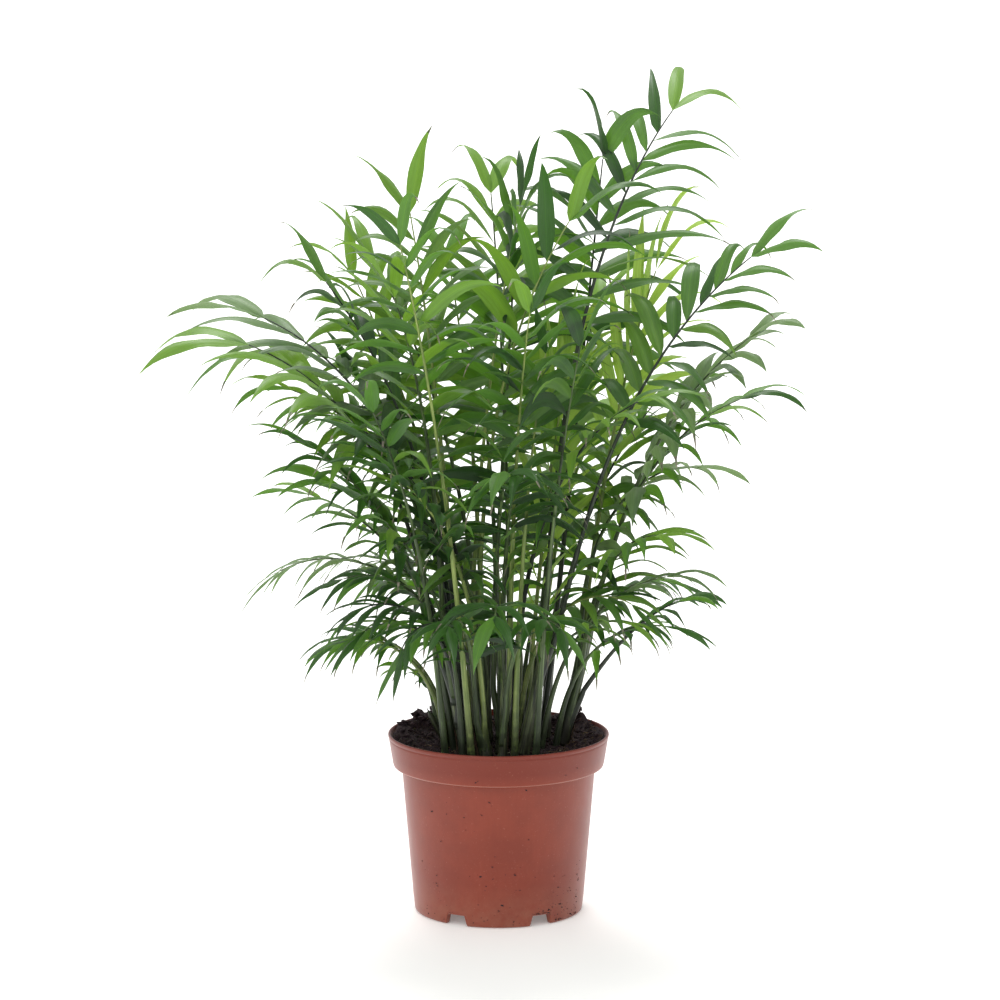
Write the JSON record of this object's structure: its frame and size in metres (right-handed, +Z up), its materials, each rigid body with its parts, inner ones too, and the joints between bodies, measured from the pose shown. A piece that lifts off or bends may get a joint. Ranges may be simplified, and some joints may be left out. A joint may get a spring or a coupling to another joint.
{
  "type": "potted parlour palm",
  "caption": "Indoor palm growing as a clump of slim green canes with arching feathery fronds, in a round terracotta-coloured plastic nursery pot with a deep collar.",
  "frame": {"origin": "centre of the pot's underside, on the surface that it stands on", "axes": "+Z up along the pot's axis, +X to the right and -Y to the front"},
  "size_m": [0.5104, 0.4094, 0.6388],
  "materials": {
    "pot": "satin moulded polypropylene, terracotta coloured",
    "soil": "loose moist peat with fibres",
    "cane": "smooth green cane with pale lengthwise lines and brown sheath remains",
    "frond": "thin leathery green leaf with a soft sheen"
  },
  "bodies": {
    "root": {"cane_01": "cane", "cane_02": "cane", "cane_03": "cane", "cane_04": "cane", "cane_05": "cane", "cane_06": "cane", "cane_07": "cane", "cane_08": "cane", "cane_09": "cane", "cane_10": "cane", "cane_11": "cane", "cane_12": "cane", "cane_13": "cane", "cane_14": "cane", "frond_01": "frond", "frond_02": "frond", "frond_03": "frond", "frond_04": "frond", "frond_05": "frond", "frond_06": "frond", "frond_07": "frond", "frond_08": "frond", "frond_09": "frond", "frond_10": "frond", "frond_11": "frond", "frond_12": "frond", "frond_13": "frond", "frond_14": "frond", "frond_15": "frond", "frond_16": "frond", "frond_17": "frond", "frond_18": "frond", "frond_19": "frond", "frond_20": "frond", "frond_21": "frond", "frond_22": "frond", "frond_23": "frond", "frond_24": "frond", "frond_25": "frond", "frond_26": "frond", "frond_27": "frond", "frond_28": "frond", "frond_29": "frond", "frond_30": "frond", "frond_31": "frond", "frond_32": "frond", "frond_33": "frond", "frond_34": "frond", "frond_35": "frond", "frond_36": "frond", "frond_37": "frond", "frond_38": "frond", "frond_39": "frond", "frond_40": "frond", "frond_41": "frond", "frond_42": "frond", "frond_43": "frond", "frond_44": "frond", "pot": "pot", "soil": "soil"}
  },
  "joints": []
}
